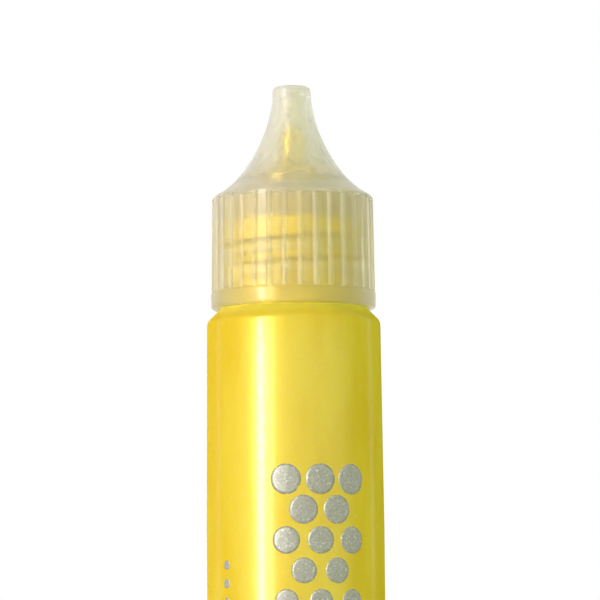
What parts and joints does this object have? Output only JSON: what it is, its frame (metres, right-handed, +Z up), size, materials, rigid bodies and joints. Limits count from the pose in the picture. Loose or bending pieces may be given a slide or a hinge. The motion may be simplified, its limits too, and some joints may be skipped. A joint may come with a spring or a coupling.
{
  "type": "bingo dauber",
  "caption": "Slim squeeze bottle of pearly yellow paint with a fine dropper nozzle, closed by a translucent fluted screw cap with a tall concave spire.",
  "frame": {"origin": "centre of the base ring that the bottle stands on", "axes": "+Z up along the bottle's axis, towards the cap; the printed front faces -Y; +X is to the right of someone looking at the front"},
  "size_m": [0.0252, 0.0252, 0.125],
  "materials": {
    "bottle": "glossy blown plastic that shows the pearly yellow paint behind it",
    "nozzle": "natural translucent plastic, satin",
    "paint": "thick pearly yellow paint, glossy",
    "cap": "milky translucent moulded plastic, semi-gloss",
    "tip_seal": "natural soft plastic, satin",
    "print": null
  },
  "bodies": {
    "bottle": {"bottle": "bottle", "nozzle": "nozzle", "paint": "paint"},
    "seal": {"tip_seal": "tip_seal"},
    "cap": {"cap": "cap"}
  },
  "joints": [
    {"name": "cap_lift", "type": "slide", "parent": "bottle", "child": "seal", "axis": [0, 0, 1], "range_m": [0, 0.0048]},
    {"name": "cap_turn", "type": "hinge", "parent": "seal", "child": "cap", "pos_m": [0, 0, 0.12], "axis": [0, 0, 1], "range_deg": [0, 540]}
  ],
  "couplings": [
    {"joint": "cap_turn", "follows": "cap_lift", "rad_per_m": 1963.5}
  ]
}
